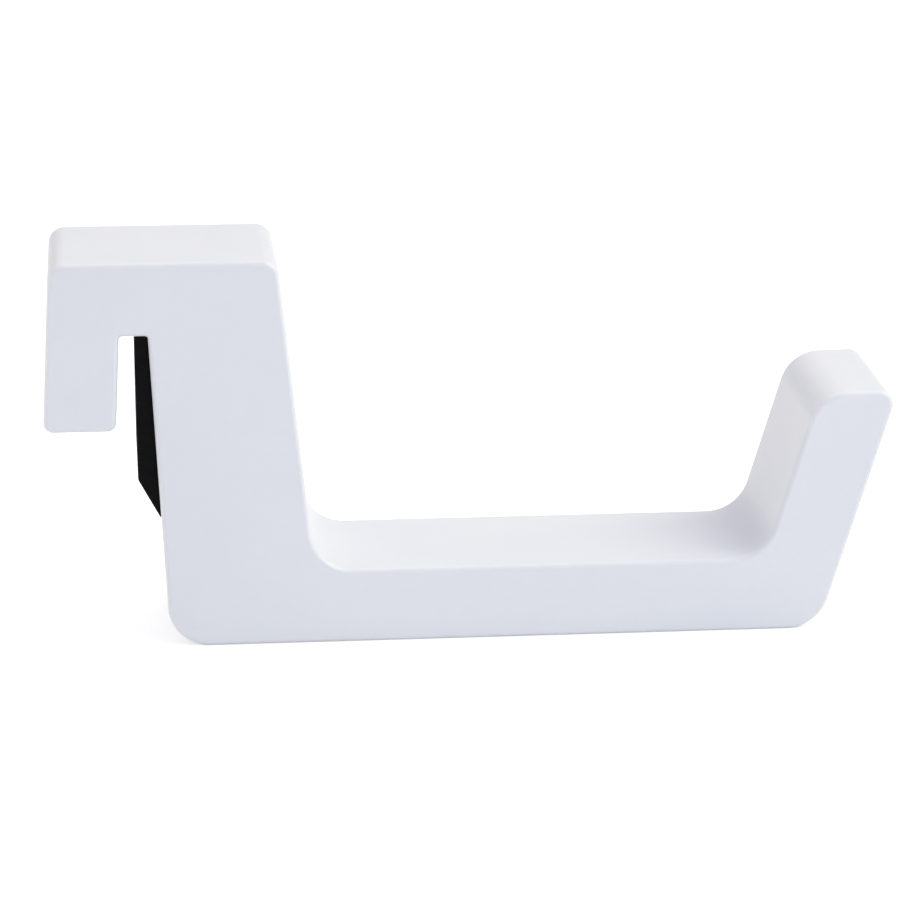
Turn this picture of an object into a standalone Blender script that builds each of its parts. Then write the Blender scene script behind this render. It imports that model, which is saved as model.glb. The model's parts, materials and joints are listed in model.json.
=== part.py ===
"""Headphone hook that hangs over the top edge of a thin upright panel.

The hook is a side profile drawn in the XZ plane and carried through a constant
depth along Y. An inverted U at the left drops over the panel, a wide upright
comes down the panel's face, and a level arm with an outward-leaning tip makes
the cradle for the headband. A front shell holds ribs and bosses, a pinned cover
closes it at the rear, and a grip pad is bonded to the upright.

Frame: the origin is the middle of the free strip of the slot's ceiling, where
the panel's top edge seats. +X runs along the arm away from the panel, +Y runs
from the front face to the rear face, +Z is up. Blender units are metres, and
the dimensions below are millimetres.
"""

import math

import bmesh
import bpy
from mathutils import Matrix, Vector

MM = 0.001

# ---------------------------------------------------------------- profile
DEPTH = 20.0  # front face to rear face, along Y
TOP_Z = 9.3  # top of the clip above the slot's ceiling
CEILING_Z = 0.0
LEG_BOTTOM_Z = -12.3  # end of the short outer leg
FLOOR_Z = -31.4  # cradle floor, where the headband rests
BASE_Z = -41.1  # flat underside
# Each steep face is a straight line: x at z = 0, and dx/dz.
LEG_OUTER = (-9.974, 0.0529)
LEG_INNER = (-0.966, 0.0496)
UPRIGHT_LEFT = (2.582, -0.0529)
UPRIGHT_RIGHT = (19.758, -0.1109)
TIP_INNER = (90.058, 0.2847)
TIP_OUTER = (100.39, 0.2871)
TIP_END = (97.49, -9.1)  # x and z of a point on the tip's end face
TIP_END_SLOPE = 0.024  # dz/dx: the end face rises slightly outwards

# Corner radii of the profile
R_LEG_END = 1.2
R_SLOT = 0.4
R_HEEL = 5.3  # under the upright
R_TOE = 5.4  # under the tip
R_TIP_OUTER = 1.9
R_TIP_INNER = 5.2
R_CRADLE_FAR = 5.7
R_CRADLE_NEAR = 5.6
R_CLIP_TOP = 2.1
R_MIN = 0.3  # least outside radius of an inset profile
EDGE_ROUND = 0.6  # all round the front face and the rear face

# ---------------------------------------------------------------- shell and cover
WALL = 2.4
RIM = 1.4  # shell wall left outside the rear cover
COVER_THICK = 2.0
COVER_GAP = 0.1  # round the cover's edge
SEAT_GAP = 0.03  # between faces that rest on each other
COVER_BREAK = 0.25  # broken edge that draws the parting line
RIB_THICK = 1.2
RIB_TOP_Y = 5.5
RIB_END_INSET = 1.0  # from the hook's outer faces to a rib's ends
BOSS_R = 2.9
PIN_R = 1.0
PIN_LENGTH = 5.0
PIN_ROOT = 1.0  # length sunk in the cover
PIN_TIP = 0.35  # chamfer at the free end
SOCKET_R = 1.08
SOCKET_DEPTH = 6.0
SOCKET_OVERCUT = 0.5  # how far the socket cutter runs past the seat
OVERCUT = 1.0  # how far the other cutters run past the faces they open

FRONT_Y = -DEPTH / 2
REAR_Y = DEPTH / 2
SEAT_Y = REAR_Y - COVER_THICK  # ledge that the cover lies on
FLOOR_Y = FRONT_Y + WALL  # inner side of the front wall

# ---------------------------------------------------------------- grip pad
PAD_WIDTH = 18.0
PAD_OUTER = (0.967, -0.0036)  # the face that bears on the panel, as x at z = 0 and dx/dz
PAD_KNEE_Z = -18.95  # where the lower end starts to taper back
PAD_END_Z = -23.9
PAD_END_PROUD = 0.15  # how far the lower end stands off the upright's face
PAD_EDGE = 0.2  # rounding of the outer edges at the front and rear ends
PAD_EDGE_ANGLES = (90, 45, 0)  # stations round that edge, from the end face inwards
R_PAD_KNEE = 1.2
RECESS = 0.4  # pocket that locates the pad, in the upright and the ceiling
RECESS_GAP = 0.1
POCKET_SIDE_GAP = 0.02  # between the ceiling pocket's left side and the pad
POCKET_STEP_Z = -3.0  # bottom of the ceiling part of the pocket cutter
FILM_THICK = 0.15
FILM_MARGIN = 0.6

# ---------------------------------------------------------------- mesh and shading
HOOK_ARC_STEPS = 3.2  # per quarter turn at a 1 mm radius
PAD_ARC_STEPS = 6.0
POST_SIDES = 20
BOSS_SIDES = 28
EDGE_ROUND_SEGMENTS = 3
COVER_BREAK_SEGMENTS = 1
BEVEL_ANGLE = 50  # degrees; only sharper edges are bevelled
SHARP_ANGLE = 35  # degrees; sharper edges are not smoothed

WHITE = (0.80, 0.81, 0.84)
BLACK = (0.012, 0.012, 0.014)
FILM_GREY = (0.55, 0.54, 0.5)


# ---------------------------------------------------------------- plane geometry in X and Z
def line_x(line, z):
    return line[0] + line[1] * z


def mid_x(line_a, line_b, z):
    return (line_x(line_a, z) + line_x(line_b, z)) / 2


def cross(a, b):
    return a.x * b.y - a.y * b.x


def crossing(point_a, along_a, point_b, along_b):
    """Where the line through point_a crosses the line through point_b."""
    travel = cross(point_b - point_a, along_b) / cross(along_a, along_b)
    return point_a + along_a * travel


def moved_in(point, direction, inset):
    """The point moved to the left of the direction, into an anticlockwise outline."""
    return point + Vector((-direction.y, direction.x)) * inset


def rounded(corners, radii, steps):
    """The closed polygon through corners, with an arc at each one that has a radius."""
    points = []
    for i, corner in enumerate(corners):
        radius = radii[i]
        if not radius:
            points.append(corner)
            continue
        arriving = (corner - corners[i - 1]).normalized()
        leaving = (corners[(i + 1) % len(corners)] - corner).normalized()
        turn = math.atan2(cross(arriving, leaving), arriving.dot(leaving))
        reach = radius * math.tan(abs(turn) / 2)
        side = Vector((-arriving.y, arriving.x)) * (1 if turn > 0 else -1)
        centre = corner - arriving * reach + side * radius
        start = corner - arriving * reach - centre
        count = max(2, math.ceil(steps * radius**0.5 * abs(turn) / (math.pi / 2)))
        for k in range(count + 1):
            angle = turn * k / count
            cos, sin = math.cos(angle), math.sin(angle)
            spoke = Vector((start.x * cos - start.y * sin, start.x * sin + start.y * cos))
            points.append(centre + spoke)
    return points


def steep_side(line, downwards):
    """A steep face as a point on it and its direction of travel."""
    up = Vector((line[1], 1.0)).normalized()
    return Vector((line[0], 0.0)), -up if downwards else up


def level_side(z, direction):
    return Vector((0.0, z)), direction


def profile_sides():
    """The hook's sides, anticlockwise as seen from the front.

    Each is a point, a direction, and the radius of the corner that ends it.
    """
    right, left = Vector((1.0, 0.0)), Vector((-1.0, 0.0))
    inwards = -Vector((1.0, TIP_END_SLOPE)).normalized()
    return [
        (*level_side(LEG_BOTTOM_Z, right), R_LEG_END),
        (*steep_side(LEG_INNER, downwards=False), R_SLOT),
        (*level_side(CEILING_Z, right), R_SLOT),
        (*steep_side(UPRIGHT_LEFT, downwards=True), R_HEEL),
        (*level_side(BASE_Z, right), R_TOE),
        (*steep_side(TIP_OUTER, downwards=False), R_TIP_OUTER),
        (Vector(TIP_END), inwards, R_TIP_INNER),
        (*steep_side(TIP_INNER, downwards=True), R_CRADLE_FAR),
        (*level_side(FLOOR_Z, left), R_CRADLE_NEAR),
        (*steep_side(UPRIGHT_RIGHT, downwards=False), R_CLIP_TOP),
        (*level_side(TOP_Z, left), R_CLIP_TOP),
        (*steep_side(LEG_OUTER, downwards=True), R_LEG_END),
    ]


def hook_outline(inset):
    """The hook's profile, moved inwards by inset."""
    sides = [(moved_in(point, along, inset), along, r) for point, along, r in profile_sides()]
    corners, radii = [], []
    for i, (point, along, radius) in enumerate(sides):
        next_point, next_along, _ = sides[(i + 1) % len(sides)]
        corners.append(crossing(point, along, next_point, next_along))
        convex = cross(along, next_along) > 0
        radii.append(max(radius - inset, R_MIN) if convex else radius + inset)
    return rounded(corners, radii, HOOK_ARC_STEPS)


# ---------------------------------------------------------------- solids
def link_solid(name, bm):
    """Turn a finished bmesh into an object in the scene."""
    bmesh.ops.recalc_face_normals(bm, faces=bm.faces)
    mesh = bpy.data.meshes.new(name)
    bm.to_mesh(mesh)
    bm.free()
    obj = bpy.data.objects.new(name, mesh)
    bpy.context.scene.collection.objects.link(obj)
    return obj


def add_ring(bm, outline, y):
    return [bm.verts.new((p.x * MM, y * MM, p.y * MM)) for p in outline]


def extrude_y(bm, faces, distance):
    """Extrude faces along Y and return the new vertices."""
    grown = bmesh.ops.extrude_face_region(bm, geom=faces)
    verts = [item for item in grown["geom"] if isinstance(item, bmesh.types.BMVert)]
    bmesh.ops.translate(bm, verts=verts, vec=(0, distance * MM, 0))
    return verts


def prism(name, outline, y0, y1):
    """A closed solid: the outline in X and Z, extruded from y0 to y1."""
    bm = bmesh.new()
    face = bm.faces.new(add_ring(bm, outline, y0))
    extrude_y(bm, [face], y1 - y0)
    return link_solid(name, bm)


def loft(name, sections):
    """A closed solid through outlines of equal length, each given with its y."""
    bm = bmesh.new()
    rings = [add_ring(bm, outline, y) for outline, y in sections]
    for ring, following in zip(rings, rings[1:]):
        for i in range(len(ring)):
            j = (i + 1) % len(ring)
            bm.faces.new((ring[i], ring[j], following[j], following[i]))
    bm.faces.new(rings[0])
    bm.faces.new(list(reversed(rings[-1])))
    return link_solid(name, bm)


def post(name, x, z, radius, y0, y1, tip=0.0, sides=POST_SIDES):
    """A round post along Y. tip narrows its y0 end to a short cone."""
    bm = bmesh.new()
    body_y0 = y0 + tip
    bmesh.ops.create_cone(
        bm,
        cap_ends=True,
        segments=sides,
        radius1=radius * MM,
        radius2=radius * MM,
        depth=(y1 - body_y0) * MM,
        matrix=Matrix.Translation((x * MM, (body_y0 + y1) / 2 * MM, z * MM))
        @ Matrix.Rotation(-math.pi / 2, 4, "X"),
    )
    if tip:
        tolerance = 1e-4
        end = [f for f in bm.faces if f.calc_center_median().y < (body_y0 + tolerance) * MM]
        verts = extrude_y(bm, end, -tip)
        bmesh.ops.delete(bm, geom=end, context="FACES_ONLY")
        shrink = (radius - tip) / radius
        for vert in verts:
            vert.co.x = x * MM + (vert.co.x - x * MM) * shrink
            vert.co.z = z * MM + (vert.co.z - z * MM) * shrink
    return link_solid(name, bm)


def boolean(obj, other, operation):
    """Combine obj with other, which is kept as a hidden helper."""
    other.hide_render = True
    other.display_type = "WIRE"
    mod = obj.modifiers.new(f"{operation.lower()}_{other.name}", "BOOLEAN")
    mod.operation = operation
    mod.solver = "EXACT"
    mod.object = other


def edge_round(obj, width, segments):
    mod = obj.modifiers.new("edge_round", "BEVEL")
    mod.limit_method = "ANGLE"
    mod.angle_limit = math.radians(BEVEL_ANGLE)
    mod.width = width * MM
    mod.segments = segments
    mod.use_clamp_overlap = False


def finish(obj, mat):
    """Give the part its material and smooth shading."""
    obj.data.materials.append(mat)
    obj.data.shade_smooth()
    obj.data.set_sharp_from_angle(angle=math.radians(SHARP_ANGLE))


def material(name, colour, roughness):
    mat = bpy.data.materials.new(name)
    mat.use_nodes = True
    shader = mat.node_tree.nodes["Principled BSDF"]
    shader.inputs["Base Color"].default_value = (*colour, 1.0)
    shader.inputs["Roughness"].default_value = roughness
    mat.diffuse_color = (*colour, 1.0)
    return mat


# ---------------------------------------------------------------- ribs and bosses
# Ribs and bosses share one even row along the arm.
ARM_FIRST_X = 33.0
ARM_PITCH = 9.5
ARM_STATIONS = [ARM_FIRST_X + ARM_PITCH * i for i in range(6)]
ARM_RIBS = [ARM_STATIONS[i] for i in (0, 1, 3, 4)]
ARM_MID_Z = (FLOOR_Z + BASE_Z) / 2

UPRIGHT_RIB_TOP_Z = -8.0
UPRIGHT_RIB_PITCH = 7.5
UPRIGHT_RIBS = [UPRIGHT_RIB_TOP_Z - UPRIGHT_RIB_PITCH * i for i in range(3)]

LEG_BOSS_Z = -5.0
CLIP_BOSS_Z = 1.0
HEEL_BOSS_Z = -31.0
HEEL_BOSS_SHIFT = 1.5  # left of the upright's middle
TIP_BOSS_Z = -17.0
BOSSES = [  # x, z
    (mid_x(LEG_OUTER, LEG_INNER, LEG_BOSS_Z), LEG_BOSS_Z),
    (mid_x(UPRIGHT_LEFT, UPRIGHT_RIGHT, CLIP_BOSS_Z), CLIP_BOSS_Z),
    (mid_x(UPRIGHT_LEFT, UPRIGHT_RIGHT, HEEL_BOSS_Z) - HEEL_BOSS_SHIFT, HEEL_BOSS_Z),
    (ARM_STATIONS[2], ARM_MID_Z),
    (ARM_STATIONS[5], ARM_MID_Z),
    (mid_x(TIP_INNER, TIP_OUTER, TIP_BOSS_Z), TIP_BOSS_Z),
]


def rib_outlines():
    """The cross ribs' rectangles. Each runs well into the walls it joins."""
    half = RIB_THICK / 2
    low, high = BASE_Z + RIB_END_INSET, FLOOR_Z - RIB_END_INSET
    boxes = [(x - half, x + half, low, high) for x in ARM_RIBS]
    for z in UPRIGHT_RIBS:
        left = line_x(UPRIGHT_LEFT, z) + RIB_END_INSET
        right = line_x(UPRIGHT_RIGHT, z) - RIB_END_INSET
        boxes.append((left, right, z - half, z + half))
    return [
        [Vector((x0, z0)), Vector((x1, z0)), Vector((x1, z1)), Vector((x0, z1))]
        for x0, x1, z0, z1 in boxes
    ]


def boolean_posts(obj, label, operation, **shape):
    """Combine obj with one post at every boss position."""
    for i, (x, z) in enumerate(BOSSES, start=1):
        boolean(obj, post(f"{label}_{i}", x, z, **shape), operation)


# ---------------------------------------------------------------- the parts
def build_cavity():
    """Cutter for the shell's inside, with the ribs and bosses left out of it."""
    cavity = prism("cut_cavity", hook_outline(WALL), FLOOR_Y, REAR_Y + OVERCUT)
    below = FLOOR_Y - OVERCUT
    for i, outline in enumerate(rib_outlines(), start=1):
        boolean(cavity, prism(f"cut_rib_{i}", outline, below, RIB_TOP_Y), "DIFFERENCE")
    boolean_posts(
        cavity, "cut_boss", "DIFFERENCE", radius=BOSS_R, y0=below, y1=SEAT_Y, sides=BOSS_SIDES
    )
    return cavity


def build_pad_pocket():
    """Cutter for the grip pad's pocket, in the upright's face and the ceiling."""
    low = PAD_END_Z - RECESS_GAP
    side_x = line_x(PAD_OUTER, CEILING_Z) - POCKET_SIDE_GAP
    outline = [
        Vector((side_x, POCKET_STEP_Z)),
        Vector((line_x(UPRIGHT_LEFT, POCKET_STEP_Z) - OVERCUT, POCKET_STEP_Z)),
        Vector((line_x(UPRIGHT_LEFT, low) - OVERCUT, low)),
        Vector((line_x(UPRIGHT_LEFT, low) + RECESS, low)),
        Vector((line_x(UPRIGHT_LEFT, RECESS) + RECESS, RECESS)),
        Vector((side_x, RECESS)),
    ]
    half = PAD_WIDTH / 2 + RECESS_GAP
    return prism("cut_pad_pocket", outline, -half, half)


def build_front_shell(mat):
    shell = prism("front_shell", hook_outline(0.0), FRONT_Y, REAR_Y)
    edge_round(shell, EDGE_ROUND, EDGE_ROUND_SEGMENTS)
    boolean(shell, build_cavity(), "DIFFERENCE")
    # Rebate that the rear cover drops into
    rebate = prism("cut_rebate", hook_outline(RIM), SEAT_Y, REAR_Y + OVERCUT)
    boolean(shell, rebate, "DIFFERENCE")
    boolean_posts(
        shell,
        "cut_socket",
        "DIFFERENCE",
        radius=SOCKET_R,
        y0=SEAT_Y - SOCKET_DEPTH,
        y1=SEAT_Y + SOCKET_OVERCUT,
    )
    boolean(shell, build_pad_pocket(), "DIFFERENCE")
    finish(shell, mat)


def build_rear_cover(mat):
    cover = prism("rear_cover", hook_outline(RIM + COVER_GAP), SEAT_Y + SEAT_GAP, REAR_Y)
    edge_round(cover, COVER_BREAK, COVER_BREAK_SEGMENTS)
    boolean_posts(
        cover,
        "add_pin",
        "UNION",
        radius=PIN_R,
        y0=SEAT_Y - PIN_LENGTH,
        y1=SEAT_Y + PIN_ROOT,
        tip=PIN_TIP,
    )
    finish(cover, mat)


def pad_back(z):
    """The pad's bonded side: inside the pocket, with room for the film behind it."""
    return line_x(UPRIGHT_LEFT, z) + RECESS - FILM_THICK - 2 * SEAT_GAP


def pad_outline(inset):
    """The pad's side profile with its two exposed faces moved in by inset."""
    top = RECESS - SEAT_GAP
    corners = [
        Vector((line_x(PAD_OUTER, top), top)),
        Vector((line_x(PAD_OUTER, PAD_KNEE_Z), PAD_KNEE_Z)),
        Vector((line_x(UPRIGHT_LEFT, PAD_END_Z) - PAD_END_PROUD, PAD_END_Z)),
        Vector((pad_back(PAD_END_Z), PAD_END_Z)),
        Vector((pad_back(top), top)),
    ]
    count = len(corners)
    faces = []
    for i, corner in enumerate(corners):
        along = (corners[(i + 1) % count] - corner).normalized()
        exposed = i < 2
        faces.append((moved_in(corner, along, inset if exposed else 0.0), along))
    moved = [crossing(*faces[i - 1], *faces[i]) for i in range(count)]
    return rounded(moved, [0.0, R_PAD_KNEE, 0.0, 0.0, 0.0], PAD_ARC_STEPS)


def build_grip_pad(mat):
    edge = []  # inset of the exposed faces, distance in from the end face
    for degrees in PAD_EDGE_ANGLES:
        angle = math.radians(degrees)
        edge.append((PAD_EDGE * (1 - math.cos(angle)), PAD_EDGE * (1 - math.sin(angle))))
    half = PAD_WIDTH / 2
    front = [(pad_outline(inset), back - half) for inset, back in edge]
    rear = [(pad_outline(inset), half - back) for inset, back in reversed(edge)]
    finish(loft("grip_pad", front + rear), mat)


def film_back(z):
    """The film's side against the pocket."""
    return line_x(UPRIGHT_LEFT, z) + RECESS - SEAT_GAP


def build_pad_film(mat):
    low, high = PAD_END_Z + FILM_MARGIN, RECESS - FILM_MARGIN
    outline = [
        Vector((film_back(low) - FILM_THICK, low)),
        Vector((film_back(low), low)),
        Vector((film_back(high), high)),
        Vector((film_back(high) - FILM_THICK, high)),
    ]
    half = PAD_WIDTH / 2 - FILM_MARGIN
    film = prism("pad_adhesive", outline, -half, half)
    film.data.materials.append(mat)


def clear_scene():
    for obj in list(bpy.data.objects):
        bpy.data.objects.remove(obj, do_unlink=True)


clear_scene()
build_front_shell(material("shell_white_plastic", WHITE, roughness=0.42))
build_rear_cover(material("cover_white_plastic", WHITE, roughness=0.45))
build_grip_pad(material("pad_black_rubber", BLACK, roughness=0.7))
build_pad_film(material("adhesive_film", FILM_GREY, roughness=0.6))
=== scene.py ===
"""A headphone hook: a white clip over a panel's edge, with a cradle on an arm that ends in a raised tip.

+X runs along the arm away from the panel, +Y from the front face to the rear
face, +Z up, with the origin on the slot's ceiling. Lengths of the part are in
millimetres and turn into Blender's metres when a mesh is made. The studio
around it is in metres.
"""

import json
import math

import bmesh
import bpy
from mathutils import Matrix, Vector

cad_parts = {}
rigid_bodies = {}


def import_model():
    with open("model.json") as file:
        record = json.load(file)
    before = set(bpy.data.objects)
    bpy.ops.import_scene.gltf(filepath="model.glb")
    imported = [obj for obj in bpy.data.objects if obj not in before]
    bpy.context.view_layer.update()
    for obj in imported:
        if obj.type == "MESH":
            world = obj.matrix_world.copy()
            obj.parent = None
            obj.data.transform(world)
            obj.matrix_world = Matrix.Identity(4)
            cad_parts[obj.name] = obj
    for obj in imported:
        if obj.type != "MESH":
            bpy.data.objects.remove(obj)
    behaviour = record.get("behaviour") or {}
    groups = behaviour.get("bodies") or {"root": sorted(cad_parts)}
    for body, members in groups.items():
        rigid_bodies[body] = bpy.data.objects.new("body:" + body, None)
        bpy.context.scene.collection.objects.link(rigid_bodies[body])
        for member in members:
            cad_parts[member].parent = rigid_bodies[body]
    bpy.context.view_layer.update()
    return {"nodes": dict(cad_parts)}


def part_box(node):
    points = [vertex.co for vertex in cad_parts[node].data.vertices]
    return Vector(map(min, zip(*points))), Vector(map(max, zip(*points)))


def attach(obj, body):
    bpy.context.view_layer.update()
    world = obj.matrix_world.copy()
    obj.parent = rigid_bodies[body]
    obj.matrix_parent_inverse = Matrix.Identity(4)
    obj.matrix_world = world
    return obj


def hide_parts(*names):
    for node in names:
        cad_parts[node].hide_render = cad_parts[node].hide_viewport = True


for start_object in list(bpy.data.objects):
    bpy.data.objects.remove(start_object, do_unlink=True)

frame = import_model()
MM = 0.001
scene = bpy.context.scene

# ---------------------------------------------------------------- sizes
# Depths and the outer heights come from the CAD solids' own boxes.
shell_low, shell_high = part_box("front_shell")
pad_low, pad_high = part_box("grip_pad")
FRONT_Y, REAR_Y = shell_low.y / MM, shell_high.y / MM
TOP_Z, BASE_Z = shell_high.z / MM, shell_low.z / MM
PAD_FRONT_Y, PAD_REAR_Y = pad_low.y / MM, pad_high.y / MM
PAD_TOP_Z = pad_high.z / MM

LEG_BOTTOM_Z = -12.3
CRADLE_FLOOR_Z = -31.4
# A sloping face: x at z = 0, and dx/dz
LEG_OUTER = (-9.974, 0.0529)
LEG_INNER = (-0.966, 0.0496)
UPRIGHT_LEFT = (2.582, -0.0529)
UPRIGHT_RIGHT = (19.758, -0.1109)
TIP_INNER = (90.058, 0.2847)
TIP_OUTER = (100.39, 0.2871)
# The tip's nearly level top: a point (x, z) on it, and dz/dx
TIP_TOP_POINT, TIP_TOP_SLOPE = (97.49, -9.1), 0.024

LEG_END_RADIUS, SLOT_RADIUS, CLIP_TOP_RADIUS = 1.2, 0.4, 2.1
MIN_CORNER_RADIUS = 0.12  # left on outward corners when the outline moves inwards

EDGE_RADIUS = 0.6  # round the front and rear faces
WALL = 2.4
RIM = 1.4  # width of the rear rim round the cover
COVER_THICK, COVER_GAP = 2.0, 0.1
COVER_BREAK = 0.3  # radius of the cover's edge
RIM_BREAK = COVER_BREAK * 0.4  # chamfer on the rim's inner edge
SEAT_Y = REAR_Y - COVER_THICK
COVER_LEAD_IN = 0.05  # taper at the seated edge, and its clearance from the ledge
COVER_LEAD_DEPTH = 0.3

PAD_OUTER = (0.967, -0.0036)
PAD_KNEE_Z, PAD_KNEE_RADIUS = -18.95, 1.2
PAD_END_Z, PAD_END_THICK = -23.9, 0.15
PAD_EDGE_RADIUS = 0.2
RECESS, FILM = 0.4, 0.21  # depth of the pad's pocket, and of the film in it
POCKET_SLACK = 0.1  # beyond the pad's lower end, front and rear
POCKET_SIDE_SLACK = 0.02  # to the left of the pad's top
CUTTER_REACH = 1.0  # of the cutter out of the upright's left face
CUTTER_STEP_Z = -3.0  # below this the cutter keeps to that reach


# ---------------------------------------------------------------- outlines in x and z
def line_x(line, z):
    return line[0] + line[1] * z


def upwards(line):
    return Vector((line[0], 0.0)), Vector((line[1], 1.0)).normalized()


def downwards(line):
    point, direction = upwards(line)
    return point, -direction


def level(z, direction):
    return Vector((0.0, z)), direction


def cross(first, second):
    return first.x * second.y - first.y * second.x


def left_of(direction):
    return Vector((-direction.y, direction.x))


def crossing(first, second):
    """Where two lines meet, each given as (point, direction)."""
    (point, along), (other, other_along) = first, second
    share = cross(other - point, other_along) / cross(along, other_along)
    return point + along * share


RIGHT, LEFT = Vector((1.0, 0.0)), Vector((-1.0, 0.0))
# The hook's sides, anticlockwise with the front face towards the viewer:
# point and direction, then the radius and segments of the corner where the side ends
HOOK_SIDES = [
    (*level(LEG_BOTTOM_Z, RIGHT), LEG_END_RADIUS, 10),
    (*upwards(LEG_INNER), SLOT_RADIUS, 6),
    (*level(0.0, RIGHT), SLOT_RADIUS, 6),
    (*downwards(UPRIGHT_LEFT), 5.3, 20),  # heel
    (*level(BASE_Z, RIGHT), 5.4, 20),  # toe
    (*upwards(TIP_OUTER), 1.9, 14),
    (Vector(TIP_TOP_POINT), -Vector((1.0, TIP_TOP_SLOPE)).normalized(), 5.2, 20),
    (*downwards(TIP_INNER), 5.7, 20),  # cradle, far end
    (*level(CRADLE_FLOOR_Z, LEFT), 5.6, 20),  # cradle, near end
    (*upwards(UPRIGHT_RIGHT), CLIP_TOP_RADIUS, 14),
    (*level(TOP_Z, LEFT), CLIP_TOP_RADIUS, 14),
    (*downwards(LEG_OUTER), LEG_END_RADIUS, 10),
]


def arc_points(corners, radii, steps):
    """The closed outline through corners, each turned into an arc of steps[i] segments."""
    points, count = [], len(corners)
    for i, here in enumerate(corners):
        arriving = (here - corners[i - 1]).normalized()
        leaving = (corners[(i + 1) % count] - here).normalized()
        turn = math.atan2(cross(arriving, leaving), arriving.dot(leaving))
        reach = radii[i] * math.tan(abs(turn) / 2)
        side = left_of(arriving) * (1 if turn > 0 else -1)
        centre = here - arriving * reach + side * radii[i]
        start = here - arriving * reach - centre
        for k in range(steps[i] + 1):
            cos, sin = math.cos(turn * k / steps[i]), math.sin(turn * k / steps[i])
            spoke = Vector((start.x * cos - start.y * sin, start.x * sin + start.y * cos))
            points.append(centre + spoke)
    return points


def hook_outline(inset):
    """The hook's side profile moved inwards by inset.

    Every inset gives the same number of points, so outlines bridge point to point.
    """
    moved = [(point + left_of(along) * inset, along) for point, along, _, _ in HOOK_SIDES]
    corners, radii = [], []
    for i, side in enumerate(moved):
        following = moved[(i + 1) % len(moved)]
        corners.append(crossing(side, following))
        radius = HOOK_SIDES[i][2]
        outward = cross(side[1], following[1]) > 0
        radii.append(max(radius - inset, MIN_CORNER_RADIUS) if outward else radius + inset)
    return arc_points(corners, radii, [side[3] for side in HOOK_SIDES])


# ---------------------------------------------------------------- meshes
def new_object(name, shape):
    """Turns the bmesh into a linked object, with its normals made consistent."""
    bmesh.ops.recalc_face_normals(shape, faces=shape.faces)
    mesh = bpy.data.meshes.new(name)
    shape.to_mesh(mesh)
    shape.free()
    obj = bpy.data.objects.new(name, mesh)
    scene.collection.objects.link(obj)
    return obj


def skin(name, rings):
    """A capped surface through outlines of equal length, each (points, y)."""
    shape = bmesh.new()
    loops = [
        [shape.verts.new((point.x * MM, y * MM, point.y * MM)) for point in points]
        for points, y in rings
    ]
    count = len(loops[0])
    for near, far in zip(loops, loops[1:]):
        for i in range(count):
            j = (i + 1) % count
            shape.faces.new((near[i], near[j], far[j], far[i]))
    shape.faces.new(loops[0])
    shape.faces.new(list(reversed(loops[-1])))
    return new_object(name, shape)


def rounding(radius, count):
    """(inset, setback) pairs round a quarter circle, from the side wall to the flat face."""
    angles = [math.radians(90.0 * k / count) for k in range(count + 1)]
    return [(radius * (1 - math.cos(angle)), radius * (1 - math.sin(angle))) for angle in angles]


def rounded_rings(outline, radius, count, front_y, rear_y):
    """Rings of a block with rounded front and rear edges."""
    edge = rounding(radius, count)
    rings = [(outline(inset), front_y + back) for inset, back in reversed(edge)]
    return rings + [(outline(inset), rear_y - back) for inset, back in edge]


# ---------------------------------------------------------------- materials
class Nodes:
    """A material's node tree. In keyword names of inputs, an underscore stands for a space."""

    def __init__(self, name):
        self.mat = bpy.data.materials.new(name)
        self.mat.use_nodes = True
        self.tree = self.mat.node_tree
        self.shader = self.tree.nodes["Principled BSDF"]
        self.coords = self.add("ShaderNodeTexCoord").outputs["Object"]

    def put(self, socket, value):
        """Links the socket to another node's output, or sets its value."""
        if isinstance(value, bpy.types.NodeSocket):
            self.tree.links.new(value, socket)
        else:
            socket.default_value = value

    def fill(self, node, **inputs):
        for key, value in inputs.items():
            self.put(node.inputs[key.replace("_", " ")], value)
        return node

    def add(self, kind, **inputs):
        return self.fill(self.tree.nodes.new(kind), **inputs)

    def surface(self, **inputs):
        self.fill(self.shader, **inputs)

    def noise(self, **inputs):
        return self.add("ShaderNodeTexNoise", Vector=self.coords, **inputs).outputs["Fac"]

    def math(self, operation, *values):
        node = self.tree.nodes.new("ShaderNodeMath")
        node.operation = operation
        for socket, value in zip(node.inputs, values):
            self.put(socket, value)
        return node.outputs[0]

    def blend(self, coarse, fine, fine_share):
        coarse_part = self.math("MULTIPLY", coarse, 1 - fine_share)
        return self.math("ADD", coarse_part, self.math("MULTIPLY", fine, fine_share))

    def grain(self, cell_scale, noise, noise_share):
        """Soft cells with some noise on top."""
        cells = self.add("ShaderNodeTexVoronoi", Vector=self.coords, Scale=cell_scale)
        cells.feature = "SMOOTH_F1"
        scaled = self.math("MULTIPLY", noise, noise_share)
        return self.math("ADD", cells.outputs["Distance"], scaled)

    def spread(self, noise, low, high):
        """Stretches the middle of a noise over low to high."""
        return self.add(
            "ShaderNodeMapRange", Value=noise, From_Min=0.3, From_Max=0.7, To_Min=low, To_Max=high
        ).outputs["Result"]

    def ramp(self, noise, low, high, start=0.3, stop=0.7):
        """Colours a noise from low at start to high at stop."""
        node = self.add("ShaderNodeValToRGB", Fac=noise)
        stops = ((start, low), (stop, high))
        for element, (position, colour) in zip(node.color_ramp.elements, stops):
            element.position = position
            element.color = (*colour, 1.0)
        return node.outputs["Color"]

    def bump(self, **inputs):
        return self.add("ShaderNodeBump", **inputs).outputs["Normal"]


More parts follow.
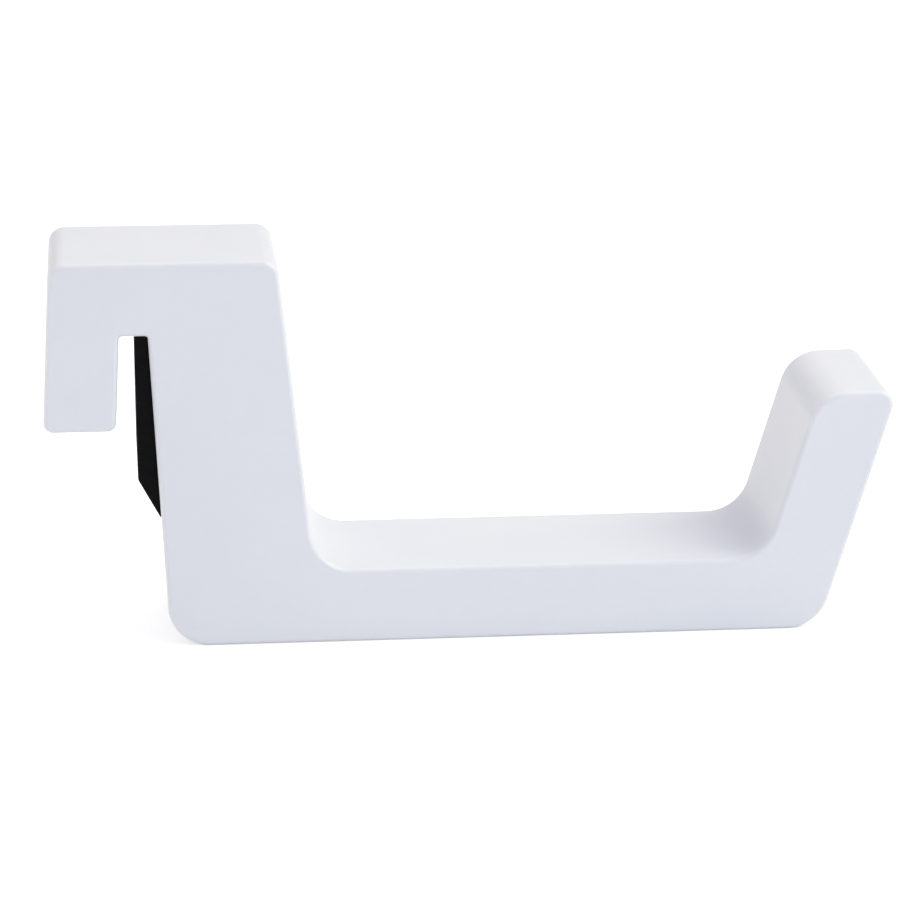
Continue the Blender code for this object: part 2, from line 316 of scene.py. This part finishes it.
def satin_plastic(name, tint=1.0):
    """White moulded plastic: an even satin, very fine grain and slow, faint changes of tone."""
    nodes = Nodes(name)
    slow = nodes.noise(Scale=38.0, Detail=3.0, Roughness=0.55)
    tone = nodes.blend(slow, nodes.noise(Scale=900.0), fine_share=0.2)
    low = tuple(channel * tint for channel in (0.765, 0.785, 0.83))
    high = tuple(channel * tint for channel in (0.80, 0.815, 0.85))
    sheen = nodes.noise(Scale=120.0, Detail=4.0, Roughness=0.6)
    grain = nodes.grain(cell_scale=4200.0, noise=nodes.noise(Scale=9000.0), noise_share=0.6)
    swell = nodes.noise(Scale=60.0, Detail=1.0)
    swell = nodes.bump(Height=swell, Strength=0.05, Distance=0.0006)
    nodes.surface(
        Base_Color=nodes.ramp(tone, low=low, high=high),
        Roughness=nodes.spread(sheen, low=0.30, high=0.38),
        Normal=nodes.bump(Height=grain, Strength=0.10, Distance=0.00004, Normal=swell),
        IOR=1.48,
        Specular_IOR_Level=0.5,
    )
    return nodes.mat


def black_rubber(name):
    """Matt black rubber with a coarser grain than the plastic's."""
    nodes = Nodes(name)
    slow = nodes.noise(Scale=160.0, Detail=4.0, Roughness=0.6)
    tone = nodes.blend(slow, nodes.noise(Scale=2600.0), fine_share=0.4)
    low, high = (0.0022, 0.0021, 0.0026), (0.0050, 0.0049, 0.0056)
    sheen = nodes.noise(Scale=300.0, Detail=4.0, Roughness=0.6)
    fine = nodes.noise(Scale=7000.0, Detail=3.0)
    grain = nodes.grain(cell_scale=3000.0, noise=fine, noise_share=0.7)
    swell = nodes.bump(Height=nodes.noise(Scale=220.0), Strength=0.12, Distance=0.0004)
    nodes.surface(
        Base_Color=nodes.ramp(tone, low=low, high=high, stop=0.72),
        Roughness=nodes.spread(sheen, low=0.62, high=0.78),
        Normal=nodes.bump(Height=grain, Strength=0.35, Distance=0.00006, Normal=swell),
        Specular_IOR_Level=0.10,
    )
    return nodes.mat


def clear_film(name):
    """The bonding film, drawn as an opaque warm grey."""
    nodes = Nodes(name)
    tone = nodes.noise(Scale=400.0, Detail=3.0)
    sheen = nodes.noise(Scale=900.0, Detail=3.0)
    relief = nodes.noise(Scale=2500.0, Detail=3.0)
    nodes.surface(
        Base_Color=nodes.ramp(tone, low=(0.50, 0.48, 0.42), high=(0.62, 0.60, 0.54)),
        Roughness=nodes.spread(sheen, low=0.35, high=0.55),
        Normal=nodes.bump(Height=relief, Strength=0.2, Distance=0.00004),
    )
    return nodes.mat


def pale_floor(name, glow, lift):
    """A near-white sweep that glows a little, as a lit table does.

    The camera sees it lifted by a further step, which keeps the part's shadow faint.
    """
    nodes = Nodes(name)
    tone = nodes.noise(Scale=3.0)
    sheen = nodes.noise(Scale=12.0, Detail=3.0)
    seen = nodes.add("ShaderNodeLightPath").outputs["Is Camera Ray"]
    nodes.surface(
        Base_Color=nodes.ramp(tone, low=(0.93, 0.93, 0.935), high=(0.95, 0.95, 0.955)),
        Roughness=nodes.spread(sheen, low=0.75, high=0.85),
        Specular_IOR_Level=0.1,
        Emission_Color=(1.0, 1.0, 1.0, 1.0),
        Emission_Strength=nodes.math("ADD", nodes.math("MULTIPLY", seen, lift), glow),
    )
    return nodes.mat


# ---------------------------------------------------------------- the three mouldings
def install(obj, part, material, sharp_degrees=30):
    """Shades the piece and puts it in the place of the CAD part."""
    obj.data.shade_smooth()
    obj.data.set_sharp_from_angle(angle=math.radians(sharp_degrees))
    normals = obj.modifiers.new("weighted_normals", "WEIGHTED_NORMAL")
    normals.keep_sharp = True
    normals.weight = 60
    obj.data.materials.append(material)
    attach(obj, "root")
    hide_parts(part)


def build_front_shell():
    """The tray: rounded outside, rear rim, then the ledge and hollow that the cover hides."""
    rings = rounded_rings(hook_outline, EDGE_RADIUS, 10, FRONT_Y, REAR_Y)
    inner_steps = [
        (RIM - RIM_BREAK, REAR_Y),
        (RIM, REAR_Y - RIM_BREAK),
        (RIM, SEAT_Y),
        (WALL, SEAT_Y),
        (WALL, FRONT_Y + WALL),
    ]
    rings += [(hook_outline(inset), y) for inset, y in inner_steps]
    return skin("front_shell_moulding", rings)


def pocket_cutter():
    """Cuts the pad's pocket into the upright's left face and the slot's ceiling."""
    low = PAD_END_Z - POCKET_SLACK
    left = line_x(PAD_OUTER, 0.0) - POCKET_SIDE_SLACK
    corners = [
        Vector((left, CUTTER_STEP_Z)),
        Vector((line_x(UPRIGHT_LEFT, CUTTER_STEP_Z) - CUTTER_REACH, CUTTER_STEP_Z)),
        Vector((line_x(UPRIGHT_LEFT, low) - CUTTER_REACH, low)),
        Vector((line_x(UPRIGHT_LEFT, low) + RECESS, low)),
        Vector((line_x(UPRIGHT_LEFT, RECESS) + RECESS, RECESS)),
        Vector((left, RECESS)),
    ]
    half = (pad_high.y - pad_low.y) / MM / 2 + POCKET_SLACK
    cutter = skin("pad_pocket_cutter", [(corners, -half), (corners, half)])
    cutter.hide_render = True
    cutter.hide_viewport = True
    cutter.display_type = "WIRE"
    return cutter


def build_rear_cover():
    inset = RIM + COVER_GAP
    rings = [
        (hook_outline(inset + COVER_LEAD_IN), SEAT_Y + COVER_LEAD_IN),
        (hook_outline(inset), SEAT_Y + COVER_LEAD_DEPTH),
    ]
    for more, back in rounding(COVER_BREAK, 5):
        rings.append((hook_outline(inset + more), REAR_Y - back))
    return skin("rear_cover_moulding", rings)


def pad_outline(inset):
    """The wedge seen from the front, its outer face and lower taper moved in by inset."""
    back = RECESS - FILM
    corners = [
        Vector((line_x(PAD_OUTER, PAD_TOP_Z), PAD_TOP_Z)),
        Vector((line_x(PAD_OUTER, PAD_KNEE_Z), PAD_KNEE_Z)),
        Vector((line_x(UPRIGHT_LEFT, PAD_END_Z) - PAD_END_THICK, PAD_END_Z)),
        Vector((line_x(UPRIGHT_LEFT, PAD_END_Z) + back, PAD_END_Z)),
        Vector((line_x(UPRIGHT_LEFT, PAD_TOP_Z) + back, PAD_TOP_Z)),
    ]
    faces = []
    for i, corner in enumerate(corners):
        along = (corners[(i + 1) % 5] - corner).normalized()
        faces.append((corner + left_of(along) * (inset if i < 2 else 0.0), along))
    moved = [crossing(faces[i - 1], faces[i]) for i in range(5)]
    radii = [0.06, PAD_KNEE_RADIUS, 0.03, 0.03, 0.03]
    return arc_points(moved, radii, steps=[4, 12, 2, 2, 2])


shell = build_front_shell()
pocket = shell.modifiers.new("pad_pocket", "BOOLEAN")
pocket.operation = "DIFFERENCE"
pocket.solver = "EXACT"
pocket.object = pocket_cutter()
install(shell, "front_shell", satin_plastic("satin_white_shell"))

cover = build_rear_cover()
install(cover, "rear_cover", satin_plastic("satin_white_cover", tint=0.99))

pad_rings = rounded_rings(pad_outline, PAD_EDGE_RADIUS, 6, PAD_FRONT_Y, PAD_REAR_Y)
pad = skin("grip_pad_wedge", pad_rings)
install(pad, "grip_pad", black_rubber("matt_black_rubber"), sharp_degrees=40)

film = frame["nodes"]["pad_adhesive"]
film.data.materials.clear()
film.data.materials.append(clear_film("clear_bonding_film"))

# ---------------------------------------------------------------- studio, in metres
FLOOR_Z = BASE_Z * MM - 0.00002  # just clear of the part
FLOOR_LEFT, FLOOR_RIGHT = -1.8, 1.9
FLOOR_NEAR, BEND_START = -1.6, 1.2
BEND_RADIUS, BEND_STEPS = 0.5, 12
WALL_TOP = 1.6  # above the floor


def build_floor():
    """A level sweep under the part that curves up far behind it."""
    rows = [(FLOOR_NEAR, FLOOR_Z), (BEND_START, FLOOR_Z)]
    for k in range(1, BEND_STEPS + 1):
        angle = math.radians(90 * k / BEND_STEPS)
        y = BEND_START + BEND_RADIUS * math.sin(angle)
        rows.append((y, FLOOR_Z + BEND_RADIUS * (1 - math.cos(angle))))
    rows.append((BEND_START + BEND_RADIUS, FLOOR_Z + WALL_TOP))
    shape = bmesh.new()
    left = [shape.verts.new((FLOOR_LEFT, y, z)) for y, z in rows]
    right = [shape.verts.new((FLOOR_RIGHT, y, z)) for y, z in rows]
    for i in range(len(rows) - 1):
        shape.faces.new((left[i], right[i], right[i + 1], left[i + 1]))
    floor = new_object("studio_sweep", shape)
    if floor.data.polygons[0].normal.z < 0:
        floor.data.flip_normals()
    floor.data.shade_smooth()
    floor.data.materials.append(pale_floor("pale_sweep", glow=0.03, lift=0.33))


build_floor()

LIGHT_TARGET = Vector((0.045, 0.0, -0.02))
LIGHT_DISTANCE = 0.8
# Name, azimuth (0 in front of the part, 90 beyond its tip), elevation, side, watts, colour
SOFTBOXES = [
    ("key_softbox", 90, 50, 0.5, 2.73, (1.0, 0.90, 0.68)),
    ("rear_softbox", 180, 50, 0.5, 1.05, (1.0, 0.90, 0.75)),
    ("front_fill", 50, 40, 0.5, 1.74, (0.87, 0.97, 1.0)),
    ("low_left_fill", -90, 12, 0.4, 1.64, (1.0, 0.89, 0.60)),
]


def softbox(name, azimuth, elevation, side, watts, colour):
    """A square soft light aimed at the part."""
    around, rise = math.radians(azimuth), math.radians(elevation)
    level_part = math.cos(rise)
    away = Vector((math.sin(around) * level_part, -math.cos(around) * level_part, math.sin(rise)))
    light = bpy.data.lights.new(name, "AREA")
    light.shape = "SQUARE"
    light.size = side
    light.energy = watts
    light.color = colour
    lamp = bpy.data.objects.new(name, light)
    lamp.location = LIGHT_TARGET + away * LIGHT_DISTANCE
    lamp.rotation_euler = (-away).to_track_quat("-Z", "Y").to_euler()
    scene.collection.objects.link(lamp)


for entry in SOFTBOXES:
    softbox(*entry)


def studio_world():
    """Even light from all round. The camera itself sees plain white beyond the floor."""
    world = bpy.data.worlds.new("studio_world")
    world.use_nodes = True
    nodes, links = world.node_tree.nodes, world.node_tree.links
    lit = nodes["Background"]
    white = nodes.new("ShaderNodeBackground")
    for background, colour, strength in (
        (lit, (0.853, 0.871, 1.0, 1.0), 0.598),
        (white, (1.0, 1.0, 1.0, 1.0), 1.05),
    ):
        background.inputs["Color"].default_value = colour
        background.inputs["Strength"].default_value = strength
    seen = nodes.new("ShaderNodeLightPath")
    mix = nodes.new("ShaderNodeMixShader")
    links.new(seen.outputs["Is Camera Ray"], mix.inputs[0])
    links.new(lit.outputs[0], mix.inputs[1])
    links.new(white.outputs[0], mix.inputs[2])
    links.new(mix.outputs[0], nodes["World Output"].inputs["Surface"])
    return world


scene.world = studio_world()

# The camera stands in front of the clip, turned a little to the right and looking down.
CAMERA_AT = Vector((-2.05, -417.85, 117.11)) * MM
AZIMUTH, DOWN_TILT, ROLL = (math.radians(angle) for angle in (6.102, 18.100, 0.518))
LENS, SENSOR = 133.696957, 36.0  # focal length and sensor width, mm


def build_camera():
    level_part = math.cos(DOWN_TILT)
    forward = Vector(
        (math.sin(AZIMUTH) * level_part, math.cos(AZIMUTH) * level_part, -math.sin(DOWN_TILT))
    )
    level_right = forward.cross(Vector((0, 0, 1))).normalized()
    level_up = level_right.cross(forward)
    right = level_right * math.cos(ROLL) + level_up * math.sin(ROLL)
    up = right.cross(forward)
    data = bpy.data.cameras.new("photo_camera")
    data.lens = LENS
    data.sensor_width = SENSOR
    data.clip_start, data.clip_end = 0.02, 20.0
    camera = bpy.data.objects.new("photo_camera", data)
    turned = Matrix((right, up, -forward)).transposed().to_4x4()
    camera.matrix_world = Matrix.Translation(CAMERA_AT) @ turned
    scene.collection.objects.link(camera)
    scene.camera = camera


build_camera()

scene.view_settings.view_transform = "Standard"
scene.view_settings.look = "None"
